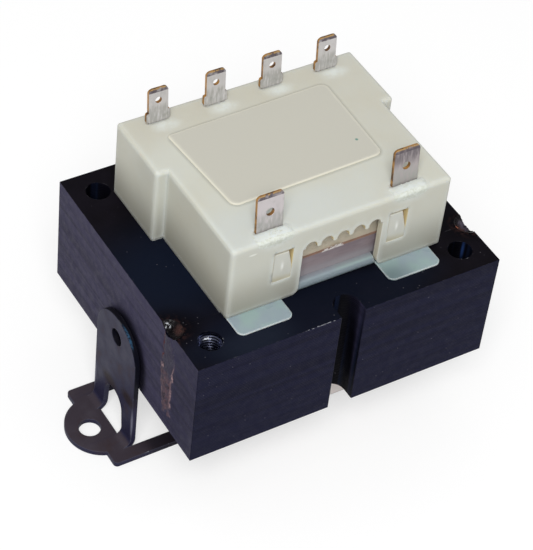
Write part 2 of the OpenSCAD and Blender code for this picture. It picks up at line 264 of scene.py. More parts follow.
class Shader(NodeTree):
    """A material under construction: one Principled surface and the nodes that feed it.

    Places are in metres in the shared frame. Sizes of patterns and distances are in millimetres.
    """

    def __init__(self, name: str) -> None:
        """Start an empty material.

        Args:
            name: name of the material.
        """
        self.material = bpy.data.materials.new(name)
        self.material.use_nodes = True
        super().__init__(self.material.node_tree)
        self.surface = self.add("BsdfPrincipled", {})
        self.add("OutputMaterial", {"Surface": Field(self, self.surface.outputs["BSDF"])})
        self.place = self.node("TexCoord", {}, "Object")
        self.facing = self.node("TexCoord", {}, "Normal")

    def set(self, **inputs: Value) -> None:
        """Feed inputs of the Principled surface, with underscores for the spaces in their names."""
        for name, value in inputs.items():
            self.feed(self.surface.inputs[name.replace("_", " ")], value)

    def scatter(self, weight: float, radius: Triple, scale: float) -> None:
        """Let light in below the surface, by a share, a reach for each colour and a scale."""
        self.set(Subsurface_Weight=weight, Subsurface_Radius=radius, Subsurface_Scale=scale * MM)

    def part(self, vector: Field, axis: Axis) -> Field:
        """Return one part of a vector."""
        return self.node("SeparateXYZ", {0: vector}, axis.value)

    def across(self, axis: Axis) -> Field:
        """Return how squarely the surface faces along an axis, 0 to 1, on either side."""
        return abs(self.part(self.facing, axis))

    def past(self, axis: Axis, start: float = 0.0) -> Field:
        """Return the distance along an axis past a place on it."""
        return (self.part(self.place, axis) - start) / MM

    def length(self, vector: Field) -> Field:
        """Return the length of a vector."""
        return self.node("VectorMath", {0: vector}, "Value", operation="LENGTH")

    def noise(
        self, size: float, detail: int = 3, stretch: Triple = (1, 1, 1), rough: float = 0.55
    ) -> Field:
        """Cloudy noise.

        Args:
            size: size of its features.
            detail: number of finer layers.
            stretch: factors by which features are longer along each axis.
            rough: strength of the finer layers.

        Returns:
            The noise, around 0.5.
        """
        scale = [1 / (size * MM * factor) for factor in stretch]
        scaled = self.node("Mapping", {"Vector": self.place, "Scale": scale})
        inputs = {"Vector": scaled, "Scale": 1.0, "Detail": detail, "Roughness": rough}
        return self.node("TexNoise", inputs, "Fac")

    def specks(self, spacing: float, radius: float) -> Field:
        """Return scattered round specks, with a radius that is a share of their mean spacing."""
        inputs = {"Vector": self.place, "Scale": 1 / (spacing * MM)}
        return self.node("TexVoronoi", inputs, "Distance").rise(radius, radius / 2)

    def near(self, patch: Patch) -> Field:
        """Soft patches round points of the shared frame.

        Args:
            patch: the points and the size of the patches.

        Returns:
            Share that is 1 in the middle of a patch and 0 outside.
        """
        halves = [half * MM for half in patch.reach]
        shares = []
        for point in patch.points:
            middle = [-part / half for part, half in zip(point, halves)]
            inputs = {"Vector": self.place, "Scale": [1 / half for half in halves], "Location": middle}
            shares.append(self.length(self.node("Mapping", inputs)).rise(1.0, patch.core))
        return reduce(Field.__or__, shares)

    def beside(self, label: LabelShape) -> Field:
        """Distance outside the outline of the label.

        Args:
            label: shape of the label.

        Returns:
            The distance, less than 0 within the outline.
        """
        middle = (label.x, label.y, 0.0)
        inputs = {"Vector": self.place, "Location": middle, "Rotation": (0.0, 0.0, label.turn)}
        turned = self.node("Mapping", inputs, vector_type="TEXTURE")
        x, y = (self.part(turned, axis) for axis in (Axis.X, Axis.Y))
        straight = x / (y * (2 * label.flare / label.depth) + 1.0)
        past_x = abs(straight) - (label.width / 2 - label.corner_r)
        past_y = abs(y) - (label.depth / 2 - label.corner_r)
        corner = self.node("CombineXYZ", {0: past_x | 0.0, 1: past_y | 0.0})
        return (self.length(corner) - label.corner_r) / MM

    def stored(self, name: str) -> Field:
        """Return a number that is kept on the points of the piece."""
        return self.node("Attribute", {}, "Fac", attribute_name=name)

    def edges(self, radius: Value) -> tuple[Field, Field]:
        """Soft edges.

        Args:
            radius: radius of the rounding.

        Returns:
            The rounded normal, and a mask of where it leaves the flat one.
        """
        rounded = self.node("Bevel", {"Radius": radius * MM}, samples=4)
        flat = self.node("NewGeometry", {}, "Normal")
        same = self.node("VectorMath", {0: rounded, 1: flat}, "Value", operation="DOT_PRODUCT")
        return rounded, same.rise(0.99, 0.8)

    def bump(self, height: Field, depth: float, **start: Field) -> Field:
        """Return the normal of a fine relief of that depth, on the flat normal or on one that is given."""
        return self.node("Bump", {"Distance": depth * MM, "Height": height, **start}, "Normal")


# Finishes


class Finish:
    """What a material is made from."""

    def make(self, name: str) -> Material:
        """Build the material.

        Args:
            name: name of the material.

        Returns:
            The finished material.
        """
        shader = Shader(name)
        self.paint(shader)
        return shader.material

    def paint(self, shader: Shader) -> None:
        """Feed the surface of a material, which each finish does in its own way."""
        raise NotImplementedError


@dataclass(frozen=True)
class LaminatedSteel(Finish):
    """Dark oxide on a stack of sheets: fine lines on the sides, a near-black dusty face on top.

    Light and shade are partly painted in: the sides lighter than the front, shade in the holes, the notch
    and beside the strap's ears, and bluish reflections and glints.
    """

    front_y: float
    top_z: float
    burnt: Patch
    sooty: Patch
    chipped: Patch
    shaded_recesses: Patch
    ear_shadow: Patch
    bluish: Patch
    banded: Patch
    hazy: Patch
    gleaming: Patch
    # side and front: painted lit and shaded tones of the same sheet edges
    side: Colour = tone(63, 60, 84)
    front: Colour = tone(29, 30, 52)
    face: Colour = tone(11, 9, 13)
    face_tint: Colour = tone(19, 16, 23)
    blue: Colour = tone(16, 22, 37)
    haze: Colour = tone(26, 31, 44)
    soot: Colour = tone(5, 4, 8)
    gleam: Colour = tone(36, 58, 104)
    # shade: colour of painted shade beside the ears and in the holes and the notch; it also darkens the
    # edges below the top
    shade: Colour = tone(3, 3, 6)
    # sheen: painted bluish reflection streaks on the walls of the holes and the notch
    sheen: Colour = tone(20, 28, 48)
    dust: Colour = tone(120, 118, 125)
    chip: Colour = tone(196, 198, 206)
    rust: Colour = tone(66, 44, 42)
    gloss: float = 0.035
    sheet: float = 0.5

    def sheets(self, shader: Shader) -> tuple[Field, Field, Field]:
        """Edges of the sheets, with painted light: the sides lighter than the front.

        Args:
            shader: material that they are for.

        Returns:
            Their colour, relief and roughness.
        """
        sideways = shader.across(Axis.X).rise(0.3, 0.8)
        line = (shader.past(Axis.Z) / self.sheet).zigzag().rise(0.0, 0.16, 1.0, 0.0)
        streak = shader.noise(self.sheet * 2.2, 3, (60, 60, 1), 0.6)
        # the sides take the front's painted darker tone towards the front corner
        ahead = shader.past(Axis.Y, self.front_y).rise(16, 6, 0.0, 0.4)
        worn = streak.rise(0.36, 0.62, 1.0, 0.0) * 0.34
        colour = coats(
            sideways.blend(self.front, ahead.blend(self.side, self.front)),
            (worn | line * 0.22, self.face),
        )
        relief = shader.noise(0.35) * 0.16 - line * 0.7
        return colour, relief, shader.noise(2).rise(0.3, 0.7, 0.38, 0.56)

    def paint(self, shader: Shader) -> None:
        """Paint the stack.

        Args:
            shader: material that is painted.
        """
        side, relief, rough = self.sheets(shader)
        top = coats(
            shader.noise(9, 4).rise(0.3, 0.7).blend(self.face, self.face_tint),
            (shader.near(self.bluish), self.blue),
            (shader.near(self.banded) * 0.65, self.blue),
            (shader.near(self.hazy), self.haze),
        )
        up = shader.across(Axis.Z).rise(0.5, 0.8)
        flank = 1 - up
        inside = shader.past(Axis.Y, self.front_y).rise(0.03, 0.15)
        reflection_streaks = shader.noise(2.2, 2, (1, 1, 60)).rise(0.48, 0.66)
        scatter = shader.specks(1.7, 0.085) * shader.noise(5).rise(0.44, 0.56) * 0.6
        normal, wear = shader.edges(0.3)
        high = shader.past(Axis.Z, self.top_z).rise(-0.6, -0.2)
        worn = wear * high * shader.noise(1.5).rise(0.5, 0.75) * 0.4
        colour = coats(
            up.blend(side, top),
            (shader.near(self.sooty) * up * 0.85, self.soot),
            (shader.near(self.burnt) * shader.noise(1.2, 4).rise(0.44, 0.62) * 0.6, self.rust),
            # painted shadow of the strap's ears on the core's sides
            (shader.near(self.ear_shadow) * 0.85, self.shade),
            # painted shade in the holes and the notch, with painted reflection streaks
            (shader.near(self.shaded_recesses) * flank * inside * 0.95, reflection_streaks.blend(self.shade, self.sheen)),
            (shader.near(self.gleaming) * flank, self.gleam),
            (scatter | worn, self.dust),
            (wear * (1 - high) * 0.6, self.shade),
            (wear * shader.near(self.chipped) * shader.noise(0.8).rise(0.52, 0.6), self.chip),
        )
        shader.set(
            Base_Color=colour,
            Roughness=rough,
            Specular_IOR_Level=self.gloss,
            Normal=shader.bump(relief * flank, 0.04, Normal=normal),
        )


@dataclass(frozen=True)
class WeldedSteel(Finish):
    """Weld run over the edges of the sheets: bluish above, rusty below, with pale and red borders."""

    steel: LaminatedSteel
    metal: Colour = tone(64, 61, 77)
    rust: Colour = tone(94, 74, 82)
    pale: Colour = tone(168, 140, 141)
    red: Colour = tone(82, 42, 44)
    shade: Colour = tone(38, 32, 40)

    def paint(self, shader: Shader) -> None:
        """Paint the run and the sheets beside it.

        Args:
            shader: material that is painted.
        """
        weld = shader.stored("weld")
        rust = shader.stored("rust")
        cloud = shader.noise(1.3, 4, (1, 1, 1.8))
        around, relief, rough = self.steel.sheets(shader)
        dark = cloud.rise(0.5, 0.36) * rust.rise(0.0, 1.0, 0.25, 0.9)
        colour = coats(
            around,
            (weld, coats(self.metal, (rust, self.rust), (dark, self.shade))),
            (shader.stored("pale") * shader.noise(0.5).rise(0.3, 0.55), self.pale),
            (shader.stored("red"), self.red),
        )
        shader.set(
            Base_Color=colour,
            Roughness=rough,
            Specular_IOR_Level=self.steel.gloss,
            Normal=shader.bump(relief * (1 - weld) + cloud * weld, 0.04),
        )


@dataclass(frozen=True)
class ThreadedSteel(Finish):
    """Cut thread: dark bare steel with a glint on its far wall."""

    glinting: Patch
    body: Colour = tone(98, 102, 122)
    glint: Colour = tone(236, 240, 248)

    def paint(self, shader: Shader) -> None:
        """Paint the thread.

        Args:
            shader: material that is painted.
        """
        bright = shader.near(self.glinting) * shader.noise(0.5).rise(0.44, 0.54)
        shader.set(
            Base_Color=bright.blend(self.body, self.glint),
            Metallic=1 - bright,
            Roughness=shader.noise(0.8).rise(0.3, 0.7, 0.12, 0.26),
        )


@dataclass(frozen=True)
class WeldSlag(Finish):
    """Glossy dark slag with rust in its hollows, a few bright drops, a painted grey sheen and painted
    glints.
    """

    warm: Patch
    glinting: Patch
    # bare: where the right crater gets a painted grey sheen
    bare: Patch
    drops: Patch
    body: Colour = tone(15, 12, 15)
    rust: Colour = tone(64, 42, 39)
    metal: Colour = tone(78, 72, 84)
    copper: Colour = tone(214, 132, 104)
    glint: Colour = tone(214, 218, 224)

    def paint(self, shader: Shader) -> None:
        """Paint the slag.

        Args:
            shader: material that is painted.
        """
        cloud = shader.noise(1.3, 4)
        rusty = shader.near(self.warm) * cloud.rise(0.34, 0.58)
        colour = coats(
            self.body,
            # painted grey sheen in the right crater
            (shader.near(self.bare) * cloud.rise(0.3, 0.5), self.metal),
            (rusty, self.rust),
            (shader.near(self.drops), self.copper),
            (shader.near(self.glinting) * shader.noise(0.5).rise(0.48, 0.58), self.glint),
        )
        shader.set(
            Base_Color=colour,
            Roughness=rusty.rise(0.0, 0.6, 0.3, 0.6),
            Specular_IOR_Level=0.12,
            Normal=shader.bump(shader.noise(0.9, 2), 0.08),
        )


@dataclass(frozen=True)
class CreamMoulding(Finish):
    """Slightly translucent cream plastic, whitened where the blades were pressed in.

    Light and shade are partly painted in: tints across the top and shade on the side walls, at the foot and
    round the label, pale highlights along the edges and a golden glow on the walls of the openings.
    """

    foot: float
    top: float
    label: LabelShape
    arches: Patch
    opening: Patch
    windows: Patch
    dash: Patch
    front_stress: Patch
    rear_stress: Patch
    body: Colour = tone(209, 210, 199)
    warm: Colour = tone(204, 201, 184)
    painted_top_light: Colour = tone(208, 214, 212)
    painted_top_shade: Colour = tone(190, 183, 166)
    white: Colour = tone(226, 232, 228)
    rim: Colour = tone(250, 252, 244)
    painted_gold_glow: Colour = tone(226, 207, 156)
    painted_side_shade: Colour = tone(140, 134, 108)
    shade: Colour = tone(122, 119, 108)

    def paint(self, shader: Shader) -> None:
        """Paint the cover: painted tints of light and shade, painted shade at its foot and round the label,
        painted highlights on its edges and a painted golden glow on the walls in its openings.

        Args:
            shader: material that is painted.
        """
        cloud = shader.noise(14)
        level = shader.across(Axis.Z).rise(0.6, 0.9)
        rearward = shader.past(Axis.Y, self.label.y)
        ahead = rearward.rise(-11, -18) * shader.past(Axis.X).rise(20, 0)
        behind = rearward.rise(6, 15)
        right = shader.past(Axis.X, self.label.width / 2).rise(-2, 2) * rearward.rise(-18, -8)
        sideways = shader.across(Axis.X).rise(0.5, 0.8) * (1 - behind)
        stressed = shader.near(self.front_stress) | shader.near(self.rear_stress) * 0.7
        wall_h = (self.top - self.foot) / MM
        low = shader.past(Axis.Z, self.foot).rise(wall_h - 6, 0) * shader.across(Axis.Z).rise(0.6, 0.2)
        gilt = shader.near(self.arches) | shader.near(self.windows)
        opening = gilt | shader.near(self.opening)
        normal, _ = shader.edges(opening.rise(0.0, 1.0, 1.3, 0.25))
        # painted highlights: a wide pale glow and a thin bright rim along the edges
        _, glow = shader.edges(2.6)
        _, rim = shader.edges(0.5)
        # painted golden glow, for light through the plastic, on the walls of the arches, the opening and
        # the latch windows
        under = (gilt | opening * 0.25) * shader.across(Axis.Y).rise(0.85, 0.5)
        colour = coats(
            cloud.rise(0.35, 0.7, 0.0, 0.5).blend(self.body, self.warm),
            # painted light and shade across the top: lighter towards the front left, darker towards the
            # rear and the right
            (level * ahead * 0.5, self.painted_top_light),
            (level * (behind | right) * 0.26, self.painted_top_shade),
            # painted shade on the front part of the side walls
            (sideways * 0.2, self.painted_side_shade),
            (stressed * shader.noise(1.4).rise(0.25, 0.6, 0.5, 1.0), self.white),
            (shader.beside(self.label).rise(0.9, 0.1) * 0.3, self.shade),
            (low * 0.6, self.shade),
            (glow * 0.62, self.white),
            (rim * (1 - gilt) * 0.5, self.rim),
            (under | rim * gilt * 0.5, self.painted_gold_glow),
            (shader.near(self.dash) * 0.6, self.rim),
        )
        shader.scatter(0.25, (1.0, 0.9, 0.7), 1.2)
        shader.set(
            Base_Color=colour,
            Roughness=cloud.rise(0.3, 0.7, 0.38, 0.5),
            Specular_IOR_Level=0.35,
            Normal=shader.bump(shader.noise(0.6, 4), 0.015, Normal=normal),
        )


@dataclass(frozen=True)
class SnapPlastic(Finish):
    """Cream plastic of a latch, with painted tan shade where it sinks behind its window and at its foot,
    and one painted bright streak.
    """

    body: Colour = tone(208, 209, 200)
    warm: Colour = tone(190, 184, 160)
    deep: Colour = tone(158, 140, 104)
    sheen: Colour = tone(250, 251, 247)

    def paint(self, shader: Shader) -> None:
        """Paint the face of the latch.

        Args:
            shader: material that is painted.
        """
        colour = coats(
            self.body,
            (shader.stored("foot"), self.warm),
            (shader.stored("sheen"), self.sheen),
            (shader.stored("deep"), self.deep),
        )
        shader.scatter(0.25, (1.0, 0.9, 0.7), 1.0)
        shader.set(Base_Color=colour, Roughness=0.35, Specular_IOR_Level=0.35)


@dataclass(frozen=True)
class MilkyMoulding(Finish):
    """Bluish-white, waxy plastic of the bobbin, creamier behind the opening.

    Light is partly painted in: darker faces that face the front, shade at the lip's foot and behind it, the
    cover's shadow on the right tab, highlights on the edges, and the cream behind the opening for light
    that the cover bounces on it.
    """

    cover_shadow: Patch
    painted_bounce_from: float
    lip_back: float
    lip_foot: float
    lip_from: float
    lip_to: float
    body: Colour = tone(150, 165, 173)
    green: Colour = tone(153, 175, 173)
    # upright: painted shaded tone for faces that face the front
    upright: Colour = tone(126, 139, 146)
    shade: Colour = tone(138, 137, 144)
    under: Colour = tone(92, 100, 98)
    pale: Colour = tone(241, 231, 227)
    rim: Colour = tone(232, 242, 242)
    # cream: painted tone of light bounced from the cover onto the flange above the strip
    cream: Colour = tone(200, 191, 172)
    # dull: colour of the painted shadow that the cover casts on the right tab
    dull: Colour = tone(104, 122, 126)

    def paint(self, shader: Shader) -> None:
        """Paint the bobbin: its tabs, the lip between them and the flanges above and below.

        Args:
            shader: material that is painted.
        """
        cloud = shader.noise(6, 2)
        height = shader.past(Axis.Z, self.lip_foot)
        lip = shader.past(Axis.X, self.lip_from).rise(-0.5, 0.5)
        lip = lip * shader.past(Axis.X, self.lip_to).rise(0.5, -0.5)
        facing = shader.across(Axis.Y).rise(0.4, 0.8)
        # painted highlight on the thin edges of the tabs
        rim = shader.across(Axis.Z).rise(0.6, 0.3) * height.rise(0.5, 0.4) * (1 - lip)
        behind = shader.past(Axis.Y, self.lip_back).rise(-2, 0)
        below = height.rise(-0.1, -0.3)
        inside = shader.past(Axis.Z, self.painted_bounce_from).rise(-0.5, 0) | below
        normal, edge = shader.edges(0.55)
        colour = coats(
            shader.noise(8, 2).rise(0.4, 0.62).blend(self.body, self.green),
            # painted shade: faces that face the front are darker than the tops
            (facing, self.upright),
            # painted shade at the foot of the lip's front
            (lip * facing * height.rise(1.2, 0.4) * 0.8, self.under),
            (rim, self.rim),
            # painted shadow of the cover on the right tab
            (shader.near(self.cover_shadow) * 0.9, self.dull),
            (behind * height.rise(0.6, 0.8) * 0.8, self.shade),
            # above the strip the flange is painted cream for light the cover bounces on it; below the
            # core's top it is pale
            (inside, below.blend(self.cream, self.pale)),
            # painted highlights along the rounded edges
            (edge * (1 - inside) * 0.75, self.rim),
        )
        shader.scatter(0.3, (0.8, 1.0, 1.0), 0.8)
        shader.set(
            Base_Color=colour,
            Roughness=cloud.rise(0.3, 0.7, 0.25, 0.4),
            Specular_IOR_Level=0.45,
            Normal=shader.bump(cloud, 0.02, Normal=normal),
        )


@dataclass(frozen=True)
class TinnedBrass(Finish):
    """Tin on the faces of a blade, bare brass on its cut edges and in its eye."""

    foot: float
    tip: float
    wear: float
    tin: Colour
    dull: Colour = tone(168, 167, 163)
    brass: Colour = tone(178, 130, 66)
    gilt: Colour = tone(186, 150, 96)
    brown: Colour = tone(92, 62, 36)
    bevel: Colour = tone(94, 86, 92)

    def paint(self, shader: Shader) -> None:
        """Paint the blade: duller below, worn above, golden at its tip.

        Args:
            shader: material that is painted.
        """
        flat = shader.across(Axis.Y)
        height = shader.past(Axis.Z, self.foot).rise(0, (self.tip - self.foot) / MM)
        last = shader.past(Axis.Z, self.tip).rise(-0.45, -0.2)
        brushed = shader.noise(0.5, 4, (1, 1, 6))
        cloud = shader.noise(1.8)
        lower = height.rise(0.3, 0.62, 0.75, 0.0).joined(cloud.rise(0.5, 0.75, 0.0, 0.4))
        upper = height.rise(0.35, 0.9) * brushed.rise(0.3, 0.6, 0.4, 1.0) * self.wear
        bevelled = flat.rise(0.993, 0.985) * cloud.rise(0.36, 0.56, 0.55, 1.0)
        face = coats(
            self.tin,
            (lower * brushed.rise(0.25, 0.6), self.dull),
            (bevelled | upper, self.bevel),
            (last * brushed.rise(0.36, 0.56), self.gilt),
        )
        edge = cloud.rise(0.4, 0.65).blend(self.brass, self.brown)
        normal, _ = shader.edges(0.12)
        shader.set(
            Base_Color=flat.rise(0.5, 0.8).blend(edge, face),
            Metallic=0.35,
            Roughness=brushed.rise(0.3, 0.7, 0.32, 0.5),
            Normal=shader.bump(brushed, 0.02, Normal=normal),
        )


@dataclass(frozen=True)
class OxidisedSheet(Finish):
    """Dark brown-black sheet steel with lighter, bluish cut edges, worn and with painted highlights."""

    gleaming: Patch
    painted_leg_highlight: Patch
    umbered: Patch
    ear_foot: float = 14 * MM
    shade_from: float = 38.0
    # flat and upright: painted lit and shaded tones of the same sheet
    flat: Colour = tone(64, 57, 65)
    upright: Colour = tone(43, 42, 65)
    painted_cut_shade: Colour = tone(10, 12, 20)
    gleam: Colour = tone(50, 82, 110)
    brown: Colour = tone(62, 48, 47)
    shade: Colour = tone(24, 21, 28)
    worn_and_highlit_edge: Colour = tone(88, 90, 108)
    bright: Colour = tone(176, 180, 190)
    streak: Colour = tone(126, 126, 144)
    umber: Colour = tone(34, 21, 22)
    sheen: Colour = tone(92, 88, 98)

    def paint(self, shader: Shader) -> None:
        """Paint the strap, with painted shadow under the core, painted shade and glints on the cut faces of
        its ears, and painted highlights on its legs and edges.

        Args:
            shader: material that is painted.
        """
        cloud = shader.noise(5, 4)
        fine = shader.noise(0.5)
        rolled = shader.noise(1, 3, (12, 1, 1))
        up = shader.across(Axis.Z).rise(0.3, 0.8)
        # painted shadow of the core on the strap beneath it
        under = abs(shader.past(Axis.X)).rise(self.shade_from, self.shade_from - 4, 0.0, 0.75)
        ear = shader.past(Axis.Z, self.ear_foot).rise(0, 4)
        cut = ear * shader.across(Axis.X).rise(0.5, 0.3)
        normal, edge = shader.edges(0.4)
        wear = edge * ear.rise(0.0, 1.0, 1.0, 0.3)
        colour = coats(
            # painted light: flat and upright faces get lit and shaded tones, and the flat ones a painted
            # sheen
            up.blend(self.upright, self.flat),
            (cloud.rise(0.5, 0.75, 0.0, 0.55), self.brown),
            (rolled.rise(0.55, 0.75, 0.0, 0.25), self.upright),
            (up * shader.noise(7).rise(0.46, 0.7, 0.0, 0.2), self.sheen),
            (under, self.shade),
            # painted shade on the cut faces of the ears, with a painted bluish glint
            (cut * 0.9, self.painted_cut_shade),
            (cut * shader.near(self.gleaming) * fine.rise(0.3, 0.6), self.gleam),
            (shader.near(self.umbered) * 0.85, self.umber),
            # lighter edges and the bright specks on them: edge wear, with painted highlights and glints
            (wear * 0.6, self.worn_and_highlit_edge),
            # painted highlight down the strap's legs
            (shader.near(self.painted_leg_highlight) * 0.85, self.streak),
            (wear * shader.noise(2.2).rise(0.6, 0.72), self.bright),
        )
        shader.set(
            Base_Color=colour,
            Metallic=0.1,
            Roughness=cloud.rise(0.3, 0.7, 0.36, 0.5),
            Specular_IOR_Level=0.06,
            Normal=shader.bump(fine, 0.03, Normal=normal),
        )


@dataclass(frozen=True)
class CoilTape(Finish):
    """Thin mauve polyester tape with a faint weave of wrinkles."""

    foot: float
    top: float
    body: Colour = tone(150, 138, 142)
    shade: Colour = tone(130, 117, 123)
    pale: Colour = tone(156, 152, 157)
    brown: Colour = tone(142, 112, 98)

    def paint(self, shader: Shader) -> None:
        """Paint the tape, paler at its foot and brown along its upper edge.

        Args:
            shader: material that is painted.
        """
        wrinkle = shader.noise(2.5, 3, (4, 1, 1))
        edge = shader.past(Axis.Z, self.top).rise(-0.35, -0.15)
        colour = coats(
            self.body,
            (wrinkle.rise(0.35, 0.7), self.shade),
            (shader.past(Axis.Z, self.foot).rise(3.0, 0.8, 0.0, 0.7), self.pale),
            (edge * wrinkle.rise(0.3, 0.5, 0.4, 1.0), self.brown),
        )
        shader.set(
            Base_Color=colour,
            Roughness=wrinkle.rise(0.3, 0.7, 0.3, 0.45),
            Specular_IOR_Level=0.4,
            Normal=shader.bump(wrinkle, 0.06),
        )


@dataclass(frozen=True)
class EnamelledWire(Finish):
    """Layers of enamelled copper wire, as fine ridges round the coil."""

    copper: Colour = tone(176, 104, 62)
    gap: Colour = tone(70, 34, 20)
    wire: float = 0.6

    def paint(self, shader: Shader) -> None:
        """Paint the turns.

        Args:
            shader: material that is painted.
        """
        ridge = (shader.past(Axis.Y) / self.wire).zigzag().rise(0.0, 0.35)
        copper = shader.noise(3).rise(0.3, 0.7, 0.0, 0.3).blend(self.copper, self.gap)
        shader.set(
            Base_Color=ridge.blend(self.gap, copper),
            Metallic=0.6,
            Roughness=0.35,
            Normal=shader.bump(ridge, 0.2),
        )


@dataclass(frozen=True)
class BareLabel(Finish):
    """Blank tan label stock with one small mark and a paler cut edge that is a painted highlight."""

    marked: Patch
    body: Colour = tone(199, 197, 185)
    rim: Colour = tone(224, 221, 205)
    mark: Colour = tone(112, 150, 138)

    def paint(self, shader: Shader) -> None:
        """Paint the label.

        Args:
            shader: material that is painted.
        """
        body = shader.near(self.marked).blend(self.body, self.mark)
        shader.set(
            # painted highlight on the label's rounded edge
            Base_Color=shader.stored("rim").blend(body, self.rim),
            Roughness=0.5,
            Specular_IOR_Level=0.3,
            Normal=shader.bump(shader.noise(0.5, 4), 0.008),
        )


@dataclass(frozen=True)
class TornFilm(Finish):
    """White torn edge of a plastic film."""

    body: Colour = tone(236, 230, 226)
    shade: Colour = tone(190, 170, 168)

    def paint(self, shader: Shader) -> None:
        """Paint the film.

        Args:
            shader: material that is painted.
        """
        fibre = shader.noise(0.4, 3, (3, 1, 1))
        shader.set(
            Base_Color=fibre.rise(0.45, 0.7).blend(self.body, self.shade),
            Roughness=0.35,
            Normal=shader.bump(fibre, 0.05),
        )


@dataclass(frozen=True)
class StressedPlastic(Finish):
    """Rough whitened plastic, crumbled by the pressing of a blade."""

    body: Colour = tone(224, 229, 221)
    shade: Colour = tone(212, 216, 204)

    def paint(self, shader: Shader) -> None:
        """Paint the crumbs.

        Args:
            shader: material that is painted.
        """
        crumb = shader.noise(0.7, 4)
        shader.scatter(0.2, (1.0, 1.0, 0.9), 0.8)
        shader.set(
            Base_Color=crumb.rise(0.4, 0.62).blend(self.shade, self.body),
            Roughness=0.6,
            Specular_IOR_Level=0.3,
            Normal=shader.bump(crumb, 0.07),
        )


# Grid surfaces


def as_points(x: np.ndarray, y: np.ndarray, z: np.ndarray) -> np.ndarray:
    """Spread coordinates over the whole grid and join them into points."""
    return np.stack(np.broadcast_arrays(x, y, z), axis=-1)


def smooth_step(value: np.ndarray, low: float, high: float) -> np.ndarray:
    """Return a cubic step from 0 to 1 as a value goes from low to high."""
    share = np.clip((value - low) / (high - low), 0, 1)
    return share * share * (3 - 2 * share)


def bell(value: np.ndarray, middle: float, width: float) -> np.ndarray:
    """Return a bell curve, with a height of 1, round a middle."""
    return np.exp(-(((value - middle) / width) ** 2))


def smooth_random(rng: np.random.Generator, rows: int, columns: int, passes: int) -> np.ndarray:
    """Random field smoothed by repeated averaging with its neighbours.

    Args:
        rng: seeded source of numbers.
        rows: rows of the field.
        columns: columns of the field.
        passes: number of averagings.

    Returns:
        Field of rows by columns with a mean of 0 and a spread of 1.
    """
    values = rng.normal(size=(rows, columns))
    neighbours = [(step, axis) for axis in (0, 1) for step in (1, -1)]
    for _ in range(passes):
        shifted = (np.roll(values, step, axis) for step, axis in neighbours)
        values = sum(shifted, values) / (len(neighbours) + 1)
    return (values - values.mean()) / values.std()


def new_object(name: str, data: bpy.types.ID) -> Piece:
    """Put a new object into the scene.

    Args:
        name: name of the object.
        data: its mesh, lamp or camera.

    Returns:
        The new object.
    """
    made = bpy.data.objects.new(name, data)
    bpy.context.scene.collection.objects.link(made)
    return made


def grid_piece(
    name: str,
    slot: Slot,
    points: np.ndarray,
    closed_rows: bool = False,
    capped: bool = False,
    **kept: np.ndarray,
) -> Piece:
    """Make a piece from a grid of points: each cell of the grid is one quad.

    Args:
        name: name of the piece.
        slot: not used.
        points: array of rows by columns by 3, in metres in the shared frame.
        closed_rows: whether the last column joins the first one.
        capped: whether one face closes the first row.
        kept: named arrays that are spread over the grid and kept on its points.

    Returns:
        The new piece, which rides on the part's one body.
    """
    rows, columns, _ = points.shape
    index = np.arange(rows * columns).reshape(rows, columns)
    if closed_rows:
        index = np.concatenate([index, index[:, :1]], axis=1)
    quads = np.stack([index[:-1, :-1], index[:-1, 1:], index[1:, 1:], index[1:, :-1]], axis=-1)
    cap = [np.arange(columns)[::-1]] if capped else []
    mesh = bpy.data.meshes.new(name)
    mesh.from_pydata(points.reshape(-1, 3), [], [*quads.reshape(-1, 4), *cap])
    for key, values in kept.items():
        layer = mesh.attributes.new(key, "FLOAT", "POINT")
        spread = np.broadcast_to(values, (rows, columns))
        layer.data.foreach_set("value", spread.astype(np.float32).ravel())
    mesh.polygons.foreach_set("use_smooth", np.ones(len(mesh.polygons), bool))
    mesh.validate()
    piece = new_object(name, mesh)
    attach(piece, "root")
    return piece


def dress_piece(piece: Piece, material: Material) -> None:
    """Give a piece one material in place of any it has, and report it.

    Args:
        piece: piece that is dressed.
        material: its material.
    """
    piece.data.materials.clear()
    piece.data.materials.append(material)
    LOG.info("%s: %s", piece.name, material.name)


def dress_nodes(material: Material, *names: str) -> None:
    """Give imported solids, by their names, one material."""
    for name in names:
        dress_piece(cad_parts[name], material)


# Sub-assemblies


